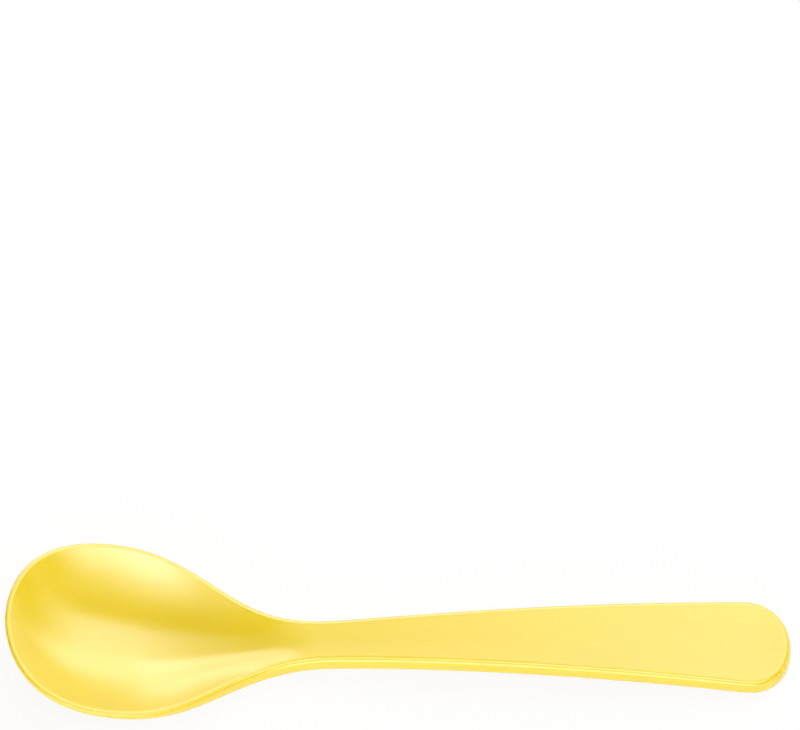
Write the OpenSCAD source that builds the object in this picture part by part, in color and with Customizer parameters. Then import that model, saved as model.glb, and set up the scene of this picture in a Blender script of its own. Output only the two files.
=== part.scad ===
// Egg spoon: one moulding, drawn as the bowl and the handle, which meet on a plane at the neck.
// It lies as on a table: +X runs from the bowl's tip to the handle's end, +Z is up, sizes in mm.

/* [Whole spoon] */
// tip of the bowl to the end of the handle
spoon_l = 125; // [115:1:135]
// tip of the bowl to the narrowest place of the neck
neck_x = 51; // [47:0.5:56]

/* [Bowl] */
// width of the bowl across its rim
bowl_w = 32; // [28:0.5:36]
// tip to the widest place of the bowl
bowl_wide_x = 16.8; // [14:0.1:19]
// depth of the hollow under the rim
bowl_depth = 5.4; // [4.5:0.1:7]
// tip to the deepest place of the hollow
bowl_deep_x = 20; // [17:0.5:24]
// the hollow runs out this far short of the neck
hollow_gap = 1.5; // [0:0.5:6]
// thickness of the bowl at its deepest place
bowl_wall = 2; // [1.5:0.1:3]
// width of the rounded rim round the hollow
rim_w = 0.85; // [0.6:0.05:1.2]
// height of the rounded rim
rim_h = 0.4; // [0.3:0.05:0.7]
// upright part of the bowl's lip below the rounded rim
lip_h = 0.45; // [0.3:0.05:0.8]

/* [Handle] */
// width of the neck
neck_w = 7.8; // [6:0.1:10]
// width where the handle's rounded end begins
end_w = 15.8; // [12:0.1:20]
// length of the handle's rounded end
end_len = 7.4; // [5:0.1:10]
// thickness of the edge at the neck
neck_t = 3.25; // [2.6:0.05:4.5]
// thickness of the edge at the handle's end
end_t = 3.15; // [2.6:0.05:4.5]
// shallow dish along the top of the handle
handle_dish = 0.25; // [0.1:0.05:0.6]
// width of the rounded top edge
edge_w = 1; // [0.6:0.05:1.3]
// height of the rounded top edge
edge_h = 1; // [0.6:0.05:1.3]
// rounding of the lower edge
under_r = 1; // [0.6:0.05:1.2]

/* [Side line] */
// angle between the bowl's rim and the handle where it leaves the neck
kick = 18.4; // [12:0.1:22]
// tip to the bend at the heel of the bowl
heel_x = 39.5; // [36:0.1:46]
// softness of that bend
heel_soft = 5.9; // [3:0.1:9]
// how far the handle's arch brings its end down
arch = 11.1; // [7:0.1:14]

/* [Hidden] */

yellow = [0.98, 0.84, 0.2];

// steps along each curve of the outline, across the hollow and round the rim
n_tip = 14;
n_bowl = 25;
n_handle = 26;
n_end = 13;
n_dish = 25;
n_rim = 5;
n_under = n_dish + 2 * n_rim;
n_ring = n_dish + n_under + 2 * n_rim + 2;
n_col = n_rim + 2;

// straightness of the hollow's flanks, roundness of its front, and of the underside across and in full
dish_flank = 1.2;
front_pow = 3.2;
under_pow = 2.3;
under_full = 1.25;

end_x = spoon_l - end_len;
run_x = neck_x - hollow_gap;
taper = (end_w - neck_w) / 2 / (end_x - neck_x);
// the underside curls up over this length at the handle's end
curl = 1.6 * under_r;

// half of the outline from above: tip, flank of the bowl, side of the handle, rounded end,
// with the same bend on both sides of the widest place and of the neck
tip_pull = 0.163 * bowl_w / 2;
wide_pull = 0.945 * bowl_wide_x;
flank_pull = wide_pull * sqrt((bowl_w - neck_w) / (bowl_w - 2 * tip_pull));
neck_pull = 0.463 * (neck_x - bowl_wide_x);
side_pull = 20;
neck_run = neck_pull * sqrt((end_w - 2 * taper * side_pull - neck_w) / (bowl_w - neck_w));
end_pull = 0.55 * end_len;
end_round = 0.63 * end_w / 2;
outline = [
  [[0, 0], [0, tip_pull], [bowl_wide_x - wide_pull, bowl_w / 2], [bowl_wide_x, bowl_w / 2]],
  [[bowl_wide_x, bowl_w / 2], [bowl_wide_x + flank_pull, bowl_w / 2],
    [neck_x - neck_pull, neck_w / 2], [neck_x, neck_w / 2]],
  [[neck_x, neck_w / 2], [neck_x + neck_run, neck_w / 2],
    [end_x - side_pull, end_w / 2 - taper * side_pull], [end_x, end_w / 2]],
  [[end_x, end_w / 2], [end_x + end_pull, end_w / 2 + taper * end_pull],
    [spoon_l, end_round], [spoon_l, 0]]
];

// stations along the outline, each a curve and a place on it
bowl_steps = concat(
  [for (i = [0:n_tip]) [0, i / n_tip]],
  [for (i = [1:n_bowl]) [1, i / n_bowl]]
);
handle_steps = concat(
  [[1, 1]],
  [for (i = [1:n_handle]) [2, i / n_handle]],
  [for (i = [1:n_end]) [3, i / n_end]]
);

function mix(a, b, f) = a + (b - a) * f;
function part01(u) = min(max(u, 0), 1);
function ease(u) = let (c = part01(u)) c * c * (3 - 2 * c);

function curve(p, t) =
  pow(1 - t, 3) * p[0] + 3 * pow(1 - t, 2) * t * p[1] + 3 * (1 - t) * t * t * p[2] + pow(t, 3) * p[3];
function along(p, t) =
  pow(1 - t, 2) * (p[1] - p[0]) + 2 * (1 - t) * t * (p[2] - p[1]) + t * t * (p[3] - p[2]);
function at(s) = curve(outline[s[0]], s[1]);
function outward(s) = let (d = along(outline[s[0]], s[1])) [-d[1], d[0]] / norm(d);

// 0 on the bowl, 1 on the handle
function handle_part(x) = ease((x - bowl_wide_x) / (neck_x - bowl_wide_x));
// 0 at the deepest place, 1 where the hollow has run out
function run_out(x) = ease((x - bowl_deep_x) / (run_x - bowl_deep_x));

function edge_at(x) = mix(rim_w, edge_w, handle_part(x));
function round_at(x) = mix(rim_h, edge_h, handle_part(x));
function thick_at(x) = mix(neck_t, end_t, part01((x - neck_x) / (spoon_l - neck_x)));
function wall_at(x) = mix(lip_h, thick_at(x) - edge_h - under_r, handle_part(x));

// depth of the top face under the edge, on the centre line
function dish_front(x) =
  bowl_depth * (1 - pow(part01((bowl_deep_x - x) / (bowl_deep_x - rim_w)), front_pow));
function dish_end(x) = 1 - pow(part01((x - end_x) / (spoon_l - edge_w - end_x)), 2);
function dish_at(x) =
  x < bowl_deep_x ? dish_front(x) : mix(bowl_depth, handle_dish, run_out(x)) * dish_end(x);

// drop of the underside below the foot of the edge, on the centre line
drop_full = bowl_depth + bowl_wall - rim_h - lip_h;
function drop_front(x) =
  drop_full * pow(1 - pow(part01(1 - x / bowl_deep_x), under_pow), 1 / under_full);
function drop_end(x) = sqrt(1 - pow(part01((x - spoon_l + curl) / curl), 2));
function drop_at(x) =
  x < bowl_deep_x ? drop_front(x) : mix(drop_full, under_r, run_out(x)) * drop_end(x);

// side line of the edge, straight along the rim, bent at the heel, arched along the handle
function ramp(x) = (x - heel_x + sqrt(pow(x - heel_x, 2) + pow(heel_soft, 2))) / 2;
function bent(x) = tan(kick) * ramp(x) - arch * pow(ramp(x) / (spoon_l - heel_x), 2);
function bent_under(x) = bent(x) - round_at(x) - wall_at(x) - drop_at(x);

// the spoon rests on two places, under the bowl and under the handle's end
function bent_at(s) = bent_under(at(s)[0]);
function lean_to(h) = max([for (s = bowl_steps) (bent_at(h) - bent_at(s)) / (at(h)[0] - at(s)[0])]);
lean = min([for (h = handle_steps) if (h[0] == 3) lean_to(h)]);
base = min([for (s = bowl_steps) bent_at(s) - lean * at(s)[0]]);
function edge_z(x) = bent(x) - lean * x - base;

// roundness of the underside across, fuller where it is shallow
function across(x, w) =
  norm([under_pow, 2 * w * under_r / pow(max(drop_at(x), 0.05), 2)]);
function full(x) = mix(under_full, 2, handle_part(x));

function spot(x, y, z) = [x - spoon_l / 2, y, z];

// one point of the rounded rim, from its inner line at 0 degrees to its outer side at 90
function rim_spot(s, side, a) =
  let (
    o = at(s),
    g = edge_at(o[0]) * (1 - sin(a)),
    p = o - g * outward(s)
  )
  spot(p[0], side * p[1], edge_z(p[0]) - round_at(o[0]) * (1 - cos(a)));
function foot_spot(s, side) =
  let (o = at(s)) spot(o[0], side * o[1], edge_z(o[0]) - round_at(o[0]) - wall_at(o[0]));

// rise of the top face from the centre line at 0 to the edge at 1
function rise(v) = v * v * (1 + dish_flank) / (1 + dish_flank * abs(v));

// top face from side to side
function dish_row(s) =
  let (
    o = at(s),
    p = o - edge_at(o[0]) * outward(s)
  )
  [for (j = [0:n_dish])
    let (v = 2 * j / n_dish - 1)
    spot(p[0], v * p[1], edge_z(p[0]) - dish_at(p[0]) * (1 - rise(v)))];

// underside from side to side
function under_row(s) =
  let (
    o = at(s),
    q = min(across(o[0], o[1]), 40),
    z = edge_z(o[0]) - round_at(o[0]) - wall_at(o[0])
  )
  [for (j = [1:n_under - 1])
    let (v = sin(90 - 180 * j / n_under))
    spot(o[0], v * o[1], z - drop_at(o[0]) * pow(1 - pow(abs(v), q), 1 / full(o[0])))];

// the whole section at a station, and the single column of points where the outline closes
function ring(s) = concat(
  dish_row(s),
  [for (j = [1:n_rim]) rim_spot(s, 1, 90 * j / n_rim)],
  [foot_spot(s, 1)],
  under_row(s),
  [foot_spot(s, -1)],
  [for (j = [0:n_rim - 1]) rim_spot(s, -1, 90 * (n_rim - j) / n_rim)]
);
function column(s) = concat(
  [for (j = [0:n_rim]) rim_spot(s, 1, 90 * j / n_rim)],
  [foot_spot(s, 1)]
);
function in_column(k) =
  k <= n_dish ? 0 :
  k <= n_dish + n_rim ? k - n_dish :
  k <= n_ring - n_rim - 1 ? n_rim + 1 :
  n_ring - k;

function sound(f) = f[0] != f[1] && f[1] != f[2] && f[0] != f[2];
function skin(a, b) = [
  for (k = [0:n_ring - 1])
    let (m = (k + 1) % n_ring)
    each [[a[k], a[m], b[m]], [a[k], b[m], b[k]]]
];

// the flat face at the neck, as strips between the top and the underside
function top_of(first) = concat(
  [for (j = [0:n_rim - 1]) first + n_ring - n_rim + j],
  [for (j = [0:n_dish + n_rim]) first + j]
);
function under_of(first) = [for (j = [0:n_under]) first + n_ring - n_rim - 1 - j];
function face_of(first) =
  let (
    t = top_of(first),
    u = under_of(first)
  )
  [for (j = [0:n_under - 1]) each [[t[j], t[j + 1], u[j + 1]], [t[j], u[j + 1], u[j]]]];
function turned(f) = [for (t = f) [t[0], t[2], t[1]]];

// numbers of the points of each ring
function full_ring(first) = [for (k = [0:n_ring - 1]) first + k];
function end_ring(first) = [for (k = [0:n_ring - 1]) first + in_column(k)];

module bowl() {
  last = len(bowl_steps) - 1;
  points = concat(
    column(bowl_steps[0]),
    [for (i = [1:last]) each ring(bowl_steps[i])]
  );
  rings = concat(
    [end_ring(0)],
    [for (i = [1:last]) full_ring(n_col + (i - 1) * n_ring)]
  );
  sides = [for (i = [0:last - 1]) each [for (f = skin(rings[i], rings[i + 1])) if (sound(f)) f]];
  color(yellow)
    polyhedron(points = points, faces = concat(sides, face_of(rings[last][0])), convexity = 6);
}

module handle() {
  last = len(handle_steps) - 1;
  points = concat(
    [for (i = [0:last - 1]) each ring(handle_steps[i])],
    column(handle_steps[last])
  );
  rings = concat(
    [for (i = [0:last - 1]) full_ring(i * n_ring)],
    [end_ring(last * n_ring)]
  );
  sides = [for (i = [0:last - 1]) each [for (f = skin(rings[i], rings[i + 1])) if (sound(f)) f]];
  color(yellow)
    polyhedron(points = points, faces = concat(sides, turned(face_of(0))), convexity = 6);
}

bowl();
handle();
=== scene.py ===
import math

import bpy
import numpy as np
from mathutils import Matrix, Vector


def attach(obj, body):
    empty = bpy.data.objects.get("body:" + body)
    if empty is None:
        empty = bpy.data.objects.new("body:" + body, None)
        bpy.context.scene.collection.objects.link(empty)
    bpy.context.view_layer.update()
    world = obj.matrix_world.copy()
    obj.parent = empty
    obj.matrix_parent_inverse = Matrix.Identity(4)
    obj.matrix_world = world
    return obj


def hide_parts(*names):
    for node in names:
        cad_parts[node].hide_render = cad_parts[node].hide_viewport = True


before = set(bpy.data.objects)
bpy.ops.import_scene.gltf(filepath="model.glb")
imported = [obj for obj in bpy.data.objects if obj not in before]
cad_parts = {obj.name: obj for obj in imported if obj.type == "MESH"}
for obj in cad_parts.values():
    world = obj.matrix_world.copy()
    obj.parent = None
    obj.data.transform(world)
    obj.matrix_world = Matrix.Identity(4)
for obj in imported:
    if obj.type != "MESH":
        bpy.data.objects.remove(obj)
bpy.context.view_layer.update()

MM = 0.001

# ---------------------------------------------------------------- the spoon's sizes, in mm
# They are the CAD's sizes, and x runs from the bowl's tip to the handle's end.
SPOON_L = 125.0
NECK_X = 51.0               # the narrowest place of the neck
BOWL_W = 32.0
BOWL_WIDE_X = 16.8          # the widest place of the bowl
BOWL_DEPTH = 5.4
BOWL_DEEP_X = 20.0          # the deepest place of the hollow
HOLLOW_GAP = 1.5            # the hollow runs out this far short of the neck
BOWL_WALL = 2.0             # thickness at the deepest place
RIM_W, RIM_H = 0.85, 0.4    # rounding of the bowl's rim
LIP_H = 0.45                # upright part of the lip below it
NECK_W, END_W = 7.8, 15.8
END_LEN = 7.4               # length of the handle's rounded end
NECK_T, END_T = 3.25, 3.15  # thickness of the edge
HANDLE_DISH = 0.25          # shallow dish along the top of the handle
EDGE_W, EDGE_H = 1.0, 1.0   # rounding of the handle's upper edge
UNDER_R = 1.0               # rounding of its lower edge
KICK = math.tan(math.radians(18.4))  # slope of the handle where it leaves the bowl
HEEL_X, HEEL_SOFT = 39.5, 5.9        # place and softness of the bend between them
ARCH = 11.1                          # how far the arch brings the handle's end down

# straightness of the hollow's flanks and roundness of its front
DISH_FLANK, FRONT_POW = 1.2, 3.2
# roundness of the underside: across, and in full under the bowl and under the handle
UNDER_POW, UNDER_FULL, HANDLE_FULL = 2.3, 1.25, 2
# the underside's roundness across is held below this, and its drop above this
UNDER_POW_MAX, DROP_MIN = 40, 0.05

END_X = SPOON_L - END_LEN
RUN_X = NECK_X - HOLLOW_GAP
TAPER = (END_W - NECK_W) / 2 / (END_X - NECK_X)
CURL = 1.6 * UNDER_R        # length of the underside's curl at the handle's end

# half the outline: four cubic curves, from the tip to the widest place, to the neck, to the
# rounded end and round it, with the pull of each curve's ends
TIP_PULL = 0.163 * BOWL_W / 2
WIDE_PULL = 0.945 * BOWL_WIDE_X
FLANK_PULL = WIDE_PULL * math.sqrt((BOWL_W - NECK_W) / (BOWL_W - 2 * TIP_PULL))
NECK_PULL = 0.463 * (NECK_X - BOWL_WIDE_X)
SIDE_PULL = 20.0
NECK_RUN = NECK_PULL * math.sqrt((END_W - 2 * TAPER * SIDE_PULL - NECK_W) / (BOWL_W - NECK_W))
END_PULL = 0.55 * END_LEN
END_ROUND = 0.63 * END_W / 2
OUTLINE = [
    [(0, 0), (0, TIP_PULL),
     (BOWL_WIDE_X - WIDE_PULL, BOWL_W / 2), (BOWL_WIDE_X, BOWL_W / 2)],
    [(BOWL_WIDE_X, BOWL_W / 2), (BOWL_WIDE_X + FLANK_PULL, BOWL_W / 2),
     (NECK_X - NECK_PULL, NECK_W / 2), (NECK_X, NECK_W / 2)],
    [(NECK_X, NECK_W / 2), (NECK_X + NECK_RUN, NECK_W / 2),
     (END_X - SIDE_PULL, END_W / 2 - TAPER * SIDE_PULL), (END_X, END_W / 2)],
    [(END_X, END_W / 2), (END_X + END_PULL, END_W / 2 + TAPER * END_PULL),
     (SPOON_L, END_ROUND), (SPOON_L, 0)],
]

# fineness of the mesh: along each curve of the outline, then across the top, round the upper
# edge, down the side and across the underside
STEPS = (44, 72, 76, 40)
N_DISH, N_RIM, N_WALL, N_UNDER = 72, 12, 3, 72
# points that agree to this part of a mm are one
WELD_PER_MM = 1e5

# wear: its reach into the faces beside an edge, in mm, and its share down the side
WEAR_REACH = 0.6
SIDE_WEAR_TOP, SIDE_WEAR_LOW = 0.6, 0.3


def mix(a, b, f):
    return a + (b - a) * f


def ease(u):
    u = np.clip(u, 0, 1)
    return u * u * (3 - 2 * u)


def walk_outline():
    """Points of half the outline and their outward directions."""
    points, ways = [], []
    for i, (curve, n) in enumerate(zip(OUTLINE, STEPS)):
        t = np.linspace(0, 1, n + 1)[min(i, 1):, None]
        s = 1 - t
        p = np.array(curve, float)
        points.append(s ** 3 * p[0] + 3 * s ** 2 * t * p[1] + 3 * s * t ** 2 * p[2] + t ** 3 * p[3])
        d = s ** 2 * (p[1] - p[0]) + 2 * s * t * (p[2] - p[1]) + t ** 2 * (p[3] - p[2])
        ways.append(np.stack([-d[:, 1], d[:, 0]], 1) / np.linalg.norm(d, axis=1)[:, None])
    return np.vstack(points), np.vstack(ways)


def handle_part(x):
    """0 on the bowl, 1 on the handle."""
    return ease((x - BOWL_WIDE_X) / (NECK_X - BOWL_WIDE_X))


def run_out(x):
    """0 at the deepest place of the hollow, 1 where it has run out."""
    return ease((x - BOWL_DEEP_X) / (RUN_X - BOWL_DEEP_X))


def edge_at(x):
    """Width of the rounded upper edge."""
    return mix(RIM_W, EDGE_W, handle_part(x))


def round_at(x):
    """Height of the rounded upper edge."""
    return mix(RIM_H, EDGE_H, handle_part(x))


def wall_at(x):
    """Height of the upright side."""
    thick = mix(NECK_T, END_T, np.clip((x - NECK_X) / (SPOON_L - NECK_X), 0, 1))
    return mix(LIP_H, thick - EDGE_H - UNDER_R, handle_part(x))


def dish_at(x):
    """Depth of the top below the line of its edge, in the middle."""
    to_tip = np.clip((BOWL_DEEP_X - x) / (BOWL_DEEP_X - RIM_W), 0, 1)
    front = BOWL_DEPTH * (1 - to_tip ** FRONT_POW)
    end = 1 - np.clip((x - END_X) / (SPOON_L - EDGE_W - END_X), 0, 1) ** 2
    return np.where(x < BOWL_DEEP_X, front, mix(BOWL_DEPTH, HANDLE_DISH, run_out(x)) * end)


def rise(v):
    """How far the top has risen across its width, from 0 in the middle to 1 at an edge."""
    return v * v * (1 + DISH_FLANK) / (1 + DISH_FLANK * np.abs(v))


def drop_at(x):
    """Depth of the underside below the foot of the side, in the middle."""
    deep = BOWL_DEPTH + BOWL_WALL - RIM_H - LIP_H
    to_tip = np.clip(1 - x / BOWL_DEEP_X, 0, 1)
    front = deep * (1 - to_tip ** UNDER_POW) ** (1 / UNDER_FULL)
    end = np.sqrt(1 - np.clip((x - SPOON_L + CURL) / CURL, 0, 1) ** 2)
    return np.where(x < BOWL_DEEP_X, front, mix(deep, UNDER_R, run_out(x)) * end)


def bent(x):
    """The side line: level along the bowl, up at the heel, and over in an arch."""
    ramp = (x - HEEL_X + np.sqrt((x - HEEL_X) ** 2 + HEEL_SOFT ** 2)) / 2
    return KICK * ramp - ARCH * (ramp / (SPOON_L - HEEL_X)) ** 2


def resting(x):
    """Lean and height of the side line, so that the bowl and the handle's end touch the table."""
    z = bent(x) - round_at(x) - wall_at(x) - drop_at(x)
    i, j = np.flatnonzero(x <= NECK_X), np.flatnonzero(x > END_X)
    lean = ((z[j][:, None] - z[i][None]) / (x[j][:, None] - x[i][None])).max(1).min()
    return lean, (z[i] - lean * x[i]).min()


def spoon_rings():
    """A ring of points for each station of the outline, in mm, and each point's share of wear."""
    o, n = walk_outline()
    x, w = o[:, :1], o[:, 1:]
    lean, base = resting(o[:, 0])

    def edge_z(u):
        return bent(u) - lean * u - base

    c = o - edge_at(x) * n
    cx, cw = c[:, :1], c[:, 1:]
    v = np.linspace(-1, 1, N_DISH + 1)[None]
    top = [cx + 0 * v, cw * v, edge_z(cx) - dish_at(cx) * (1 - rise(v))]

    a = np.linspace(0, math.pi / 2, N_RIM + 1)[None, 1:]
    g = edge_at(x) * (1 - np.sin(a))
    rx, rw = x - g * n[:, :1], w - g * n[:, 1:]
    rim = [rx, rw, edge_z(rx) - round_at(x) * (1 - np.cos(a))]

    k = np.linspace(0, 1, N_WALL + 1)[None, 1:]
    foot = edge_z(x) - round_at(x)
    wall = [x + 0 * k, w + 0 * k, foot - wall_at(x) * k]

    blunt = 2 * w * UNDER_R / np.maximum(drop_at(x), DROP_MIN) ** 2
    q = np.minimum(np.hypot(UNDER_POW, blunt), UNDER_POW_MAX)
    full = mix(UNDER_FULL, HANDLE_FULL, handle_part(x))
    u = np.cos(np.linspace(0, math.pi, N_UNDER + 1))[None, 1:-1]
    low = foot - wall_at(x) - drop_at(x) * (1 - np.abs(u) ** q) ** (1 / full)
    under = [x + 0 * u, w * u, low]

    def other(side):
        return [side[0][:, ::-1], -side[1][:, ::-1], side[2][:, ::-1]]

    rows = [top, rim, wall, under, other(wall), other(rim)]
    ring = np.stack([np.concatenate([r[i] for r in rows], 1) for i in range(3)], -1)

    # wear is full on the rounded upper edge and fades into the faces beside it
    def beside(half, share):
        return np.exp(-(half * (1 - np.abs(share)) / WEAR_REACH) ** 2)

    on_rim = 1 + 0 * rw
    on_wall = mix(SIDE_WEAR_TOP, SIDE_WEAR_LOW, k) + 0 * x
    on_under = SIDE_WEAR_LOW * beside(w, u)
    wear = [beside(cw, v), on_rim, on_wall, on_under, on_wall[:, ::-1], on_rim[:, ::-1]]
    return ring, np.concatenate(wear, 1)


def make_spoon():
    ring, wear = spoon_rings()
    count, size = ring.shape[:2]
    points = ring.reshape(-1, 3) - np.array([SPOON_L / 2, 0, 0])
    # points that fall together at the tip and at the handle's end become one
    grid = np.round(points * WELD_PER_MM).astype(np.int64)
    _, first, same = np.unique(grid, axis=0, return_index=True, return_inverse=True)
    order = np.argsort(first)
    rank = np.empty(len(order), int)
    rank[order] = np.arange(len(order))
    index = rank[same.ravel()].reshape(count, size)
    verts = points[first[order]] * MM
    faces = []
    for i in range(count - 1):
        for k in range(size):
            m = (k + 1) % size
            f = [index[i, k], index[i, m], index[i + 1, m], index[i + 1, k]]
            f = [int(p) for j, p in enumerate(f) if p != f[j - 1]]
            if len(f) >= 3:
                faces.append(f)
    mesh = bpy.data.meshes.new("spoon")
    mesh.from_pydata(verts.tolist(), [], faces)
    mesh.validate()
    mesh.shade_smooth()
    edge = mesh.attributes.new("edge", "FLOAT", "POINT")
    edge.data.foreach_set("value", wear.ravel()[first[order]])
    # the crisp inner line of the bowl's rim, as far as the neck
    crease = {frozenset((int(index[i, k]), int(index[i + 1, k])))
              for i in range(sum(STEPS[:2])) for k in (0, N_DISH)}
    for e in mesh.edges:
        if frozenset(e.vertices) in crease:
            e.use_edge_sharp = True
    mesh.update()
    obj = bpy.data.objects.new("spoon", mesh)
    bpy.context.scene.collection.objects.link(obj)
    return obj


# ---------------------------------------------------------------- node helpers
# sockets of the Mix node that carry colours
MIX_FACTOR, MIX_A, MIX_B, MIX_RESULT = 0, 6, 7, 2


class Tree:
    """Adds nodes to a node tree and links them as they are made."""

    def __init__(self, tree):
        self.nodes, self.links = tree.nodes, tree.links

    def put(self, value, socket):
        if isinstance(value, bpy.types.NodeSocket):
            self.links.new(value, socket)
        else:
            socket.default_value = value

    def add(self, kind, output, **inputs):
        node = self.nodes.new(kind)
        for name, value in inputs.items():
            self.put(value, node.inputs[name])
        return node.outputs[output]

    def math(self, operation, *values):
        node = self.nodes.new("ShaderNodeMath")
        node.operation = operation
        for value, socket in zip(values, node.inputs):
            self.put(value, socket)
        return node.outputs[0]

    def span(self, value, low, high, to_low=0.0, to_high=1.0):
        """A smooth step from one value to another between low and high."""
        node = self.nodes.new("ShaderNodeMapRange")
        node.interpolation_type = "SMOOTHSTEP"
        for v, socket in zip((value, low, high, to_low, to_high), node.inputs):
            self.put(v, socket)
        return node.outputs[0]

    def noise(self, where, scale, detail=2.0, roughness=0.5):
        return self.add("ShaderNodeTexNoise", "Fac",
                        Vector=where, Scale=scale, Detail=detail, Roughness=roughness)

    def stretched(self, where, scale):
        return self.add("ShaderNodeMapping", "Vector", Vector=where, Scale=scale)

    def bump(self, height, strength, depth, **under):
        return self.add("ShaderNodeBump", "Normal",
                        Height=height, Strength=strength, Distance=depth, **under)

    def mix(self, factor, a, b):
        node = self.nodes.new("ShaderNodeMix")
        node.data_type = "RGBA"
        for value, socket in zip((factor, a, b), (MIX_FACTOR, MIX_A, MIX_B)):
            self.put(value, node.inputs[socket])
        return node.outputs[MIX_RESULT]


# ---------------------------------------------------------------- materials
YELLOW = (0.835, 0.615, 0.018, 1)
YELLOW_DEEP = (0.80, 0.58, 0.013, 1)
YELLOW_WORN = (0.86, 0.67, 0.06, 1)
SPECK = (0.55, 0.30, 0.01, 1)
WHITE = (1, 1, 1, 1)

IOR, SPEC_LEVEL = 1.6, 0.96
ROUGH, ROUGH_SWING = 0.21, 0.03
WORN_ROUGH, LINE_ROUGH = 0.05, 0.035  # added to it where worn and on hairlines
WORN_COLOUR = 0.12                    # share of the worn colour where worn

# a noise is its scale per metre, its detail and its roughness; a stretched one has a scale for
# each of x, y and z
FLOW_STRETCH, FLOW_NOISE = (25, 90, 90), (1.0, 3.0, 0.55)
LINES_X_STRETCH, LINES_Y_STRETCH, LINES_NOISE = (45, 4200, 900), (3600, 60, 800), (1.0, 1.0)
GRAIN_NOISE = (2600.0, 2.0)
PATCH_NOISE = (420.0, 3.0, 0.55)
HANDLED_NOISE = (70.0,)
CLOUD_NOISE = (130.0, 4.0, 0.6)
RIPPLE_NOISE = (240.0, 1.0)
SATIN_NOISE = (4200.0, 2.0)

# a span is where a smooth step begins and ends, and the values there if not 0 and 1
FLOW_SPAN = (0.38, 0.68, 0.0, 0.7)
GRAIN_SPAN = (0.35, 0.75, 0.0, 0.25)
PATCH_SPAN = (0.45, 0.75)
LINES_X_SPAN, LINES_Y_SPAN = (0.66, 0.74), (0.69, 0.77)
HANDLED_SPAN = (0.4, 0.65)
CLOUD_SPAN = (0.3, 0.7, ROUGH - ROUGH_SWING, ROUGH + ROUGH_SWING)

# specks: cells per metre, the share of cells that have none, and each one's size in its cell
SPECK_CELLS, SPECK_RARE = 95.0, 0.72
SPECK_SPAN = (0.006, 0.014, 0.5, 0.0)

# a bump is its strength and its depth in metres
RIPPLE_BUMP = (0.25, 0.00002)
SATIN_BUMP = (0.3, 0.0000015)
LINES_BUMP = (0.2, 0.000002)

FLOOR_GREY, FLOOR_ROUGH = (0.9, 0.9, 0.9, 1), 0.9
# share of plain white in the floor as the camera sees it, and as it is mirrored in the spoon
FLOOR_WHITE, FLOOR_MIRRORED = 0.88, 0.3


def plastic():
    """Moulded plastic, coloured through, with a fine skin, hairlines of use and worn edges."""
    m = bpy.data.materials.new("yellow_plastic")
    m.use_nodes = True
    t = Tree(m.node_tree)
    bsdf = t.nodes["Principled BSDF"]
    where = t.add("ShaderNodeTexCoord", "Object")

    # colour: slow streaks along the flow from the handle, a fine grain, and rare specks
    flow = t.noise(t.stretched(where, FLOW_STRETCH), *FLOW_NOISE)
    grain = t.noise(where, *GRAIN_NOISE)
    colour = t.mix(t.span(flow, *FLOW_SPAN), YELLOW, YELLOW_DEEP)
    colour = t.mix(t.span(grain, *GRAIN_SPAN), colour, YELLOW_WORN)
    cells = t.nodes.new("ShaderNodeTexVoronoi")
    cells.voronoi_dimensions = "2D"
    t.put(where, cells.inputs["Vector"])
    t.put(SPECK_CELLS, cells.inputs["Scale"])
    chance = t.add("ShaderNodeSeparateColor", "Red", Color=cells.outputs["Color"])
    speck = t.math("MULTIPLY", t.span(cells.outputs["Distance"], *SPECK_SPAN),
                   t.math("GREATER_THAN", chance, SPECK_RARE))
    colour = t.mix(speck, colour, SPECK)

    # wear: edges rub paler and duller in patches
    edge = t.nodes.new("ShaderNodeAttribute")
    edge.attribute_name = "edge"
    patch = t.span(t.noise(where, *PATCH_NOISE), *PATCH_SPAN)
    worn = t.math("MULTIPLY", edge.outputs["Fac"], patch)
    colour = t.mix(t.math("MULTIPLY", worn, WORN_COLOUR), colour, YELLOW_WORN)

    # hairlines of use, along the spoon and across it, where it is handled and away from edges
    lines_x = t.span(t.noise(t.stretched(where, LINES_X_STRETCH), *LINES_NOISE), *LINES_X_SPAN)
    lines_y = t.span(t.noise(t.stretched(where, LINES_Y_STRETCH), *LINES_NOISE), *LINES_Y_SPAN)
    handled = t.span(t.noise(where, *HANDLED_NOISE), *HANDLED_SPAN)
    lines = t.math("MULTIPLY", t.math("MAXIMUM", lines_x, lines_y), handled)
    lines = t.math("MULTIPLY", lines, t.math("SUBTRACT", 1.0, edge.outputs["Fac"]))

    rough = t.span(t.noise(where, *CLOUD_NOISE), *CLOUD_SPAN)
    rough = t.math("ADD", rough, t.math("MULTIPLY", worn, WORN_ROUGH))
    rough = t.math("ADD", rough, t.math("MULTIPLY", lines, LINE_ROUGH))

    # skin: a soft ripple of the mould, a fine satin, and the hairlines cut into it
    ripple = t.bump(t.noise(where, *RIPPLE_NOISE), *RIPPLE_BUMP)
    satin = t.bump(t.noise(where, *SATIN_NOISE), *SATIN_BUMP, Normal=ripple)
    cuts = t.bump(t.math("SUBTRACT", 1.0, lines), *LINES_BUMP, Normal=satin)

    t.put(colour, bsdf.inputs["Base Color"])
    t.put(rough, bsdf.inputs["Roughness"])
    t.put(cuts, bsdf.inputs["Normal"])
    t.put(IOR, bsdf.inputs["IOR"])
    t.put(SPEC_LEVEL, bsdf.inputs["Specular IOR Level"])
    return m


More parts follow.
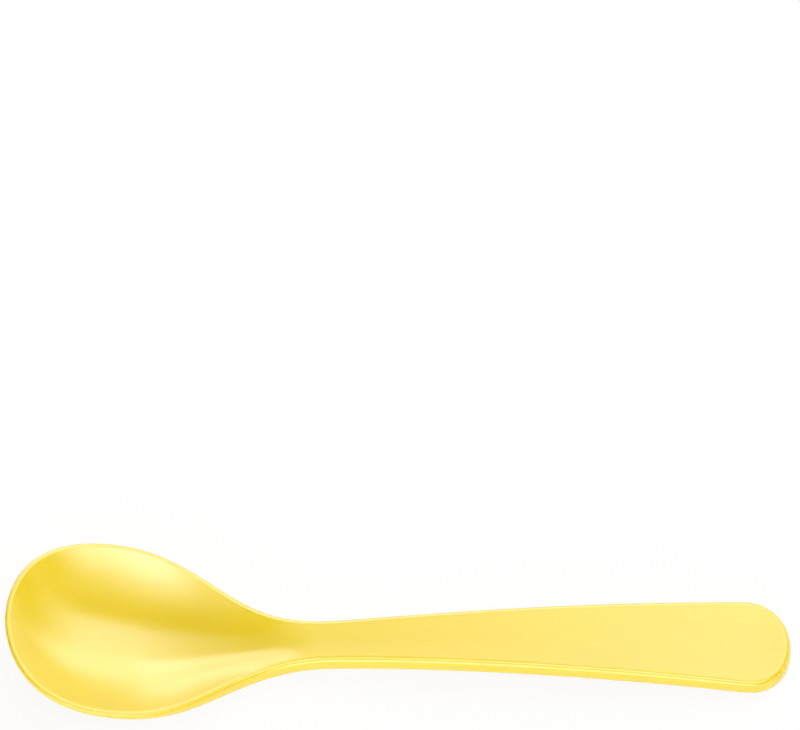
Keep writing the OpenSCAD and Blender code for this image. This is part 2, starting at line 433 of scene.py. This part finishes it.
def floor_material():
    """A pale floor that reads as white paper and keeps a faint shadow."""
    m = bpy.data.materials.new("white_floor")
    m.use_nodes = True
    t = Tree(m.node_tree)
    bsdf = t.nodes["Principled BSDF"]
    t.put(FLOOR_GREY, bsdf.inputs["Base Color"])
    t.put(FLOOR_ROUGH, bsdf.inputs["Roughness"])
    t.put(0, bsdf.inputs["Specular IOR Level"])
    path = t.nodes.new("ShaderNodeLightPath").outputs
    mirrored = t.math("MAXIMUM", path["Is Glossy Ray"], path["Is Transmission Ray"])
    white = t.math("MAXIMUM", t.math("MULTIPLY", path["Is Camera Ray"], FLOOR_WHITE),
                   t.math("MULTIPLY", mirrored, FLOOR_MIRRORED))
    glow = t.add("ShaderNodeEmission", "Emission", Color=WHITE, Strength=1.0)
    both = t.nodes.new("ShaderNodeMixShader")
    for value, socket in zip((white, bsdf.outputs[0], glow), both.inputs):
        t.put(value, socket)
    t.put(both.outputs[0], t.nodes["Material Output"].inputs["Surface"])
    return m


spoon = make_spoon()
spoon.data.materials.append(plastic())
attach(spoon, "root")
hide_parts("bowl", "handle")

# ---------------------------------------------------------------- floor
FLOOR_HALF = 4  # m
CORNERS = ((-1, -1), (1, -1), (1, 1), (-1, 1))

floor_points = [(FLOOR_HALF * x, FLOOR_HALF * y, 0) for x, y in CORNERS]
floor_mesh = bpy.data.meshes.new("floor")
floor_mesh.from_pydata(floor_points, [], [range(len(CORNERS))])
floor = bpy.data.objects.new("floor", floor_mesh)
bpy.context.scene.collection.objects.link(floor)
floor.data.materials.append(floor_material())

# ---------------------------------------------------------------- light
# a grey horizon that fades to a faint sky between two heights (the sine of the elevation)
HORIZON, AMBIENT = 0.45, 0.02
HORIZON_FADE = (0.14, 0.20)
# soft panels: each is a strength, then where it fades in and out, in degrees over the spoon from
# the back's horizon through the top to the front's, and in degrees from the middle to the
# handle's side
PANELS = (
    (2.52, (9, 16), (86, 92), (-33, 27), (24, 71)),
    (3.10, (4, 10), (13, 19), (-33, -8), (-3, 15)),
    (1.85, (14, 25), (35, 43), (-44, -23), (4, 20)),
    (7.60, (108, 115), (117, 128), (-24, 1), (33, 57)),
    (3.60, (138, 168), (195, 200), (-72, -50), (14, 40)),
)


def make_world():
    world = bpy.data.worlds.new("studio")
    bpy.context.scene.world = world
    world.use_nodes = True
    t = Tree(world.node_tree)
    where = t.nodes.new("ShaderNodeSeparateXYZ")
    t.put(t.add("ShaderNodeTexCoord", "Generated"), where.inputs[0])
    x, y, z = where.outputs
    over = t.math("ARCTAN2", z, y)
    aside = t.math("ARCSINE", x)
    light = t.span(z, *HORIZON_FADE, HORIZON, AMBIENT)
    for strength, *fades in PANELS:
        back, front, left, right = ([math.radians(v) for v in fade] for fade in fades)
        length = t.math("MULTIPLY", t.span(over, *back), t.span(over, *front, 1.0, 0.0))
        width = t.math("MULTIPLY", t.span(aside, *left), t.span(aside, *right, 1.0, 0.0))
        panel = t.math("MULTIPLY", length, width)
        light = t.math("MULTIPLY_ADD", panel, strength, light)
    background = t.nodes["Background"]
    t.put(WHITE, background.inputs["Color"])
    t.put(light, background.inputs["Strength"])


make_world()

# ---------------------------------------------------------------- camera
IMAGE_W, IMAGE_H = 800, 730
CAM_ELEVATION, CAM_AZIMUTH = 58.566, -0.384  # degrees
CAM_DISTANCE, PX_PER_MM = 2.5, 6.2807        # m, and the scale of the image at the target
SENSOR_W = 36
CLIP_START, CLIP_END = 0.1, 50
# a point of the spoon and its place in the image
TARGET = Vector((0, 0, 0.005))
TARGET_PX = (398.53, 640.70)


def make_camera():
    e, a = math.radians(CAM_ELEVATION), math.radians(CAM_AZIMUTH)
    back = Vector((math.sin(a) * math.cos(e), -math.cos(a) * math.cos(e), math.sin(e)))
    right = Vector((math.cos(a), math.sin(a), 0))
    up = back.cross(right)
    focal = PX_PER_MM / MM * CAM_DISTANCE
    data = bpy.data.cameras.new("camera")
    data.sensor_fit, data.sensor_width = "HORIZONTAL", SENSOR_W
    data.lens = focal / IMAGE_W * SENSOR_W
    data.clip_start, data.clip_end = CLIP_START, CLIP_END
    obj = bpy.data.objects.new("camera", data)
    bpy.context.scene.collection.objects.link(obj)
    # turned so that the target falls on its place in the image, which is low in it
    tilt = math.atan((TARGET_PX[1] - IMAGE_H / 2) / focal)
    pan = math.atan((TARGET_PX[0] - IMAGE_W / 2) / focal)
    axes = Matrix((right, up, back)).transposed()
    axes = axes @ Matrix.Rotation(pan, 3, "Y") @ Matrix.Rotation(tilt, 3, "X")
    obj.matrix_world = Matrix.Translation(TARGET + back * CAM_DISTANCE) @ axes.to_4x4()
    bpy.context.scene.camera = obj


make_camera()
bpy.context.scene.view_settings.view_transform = "Standard"
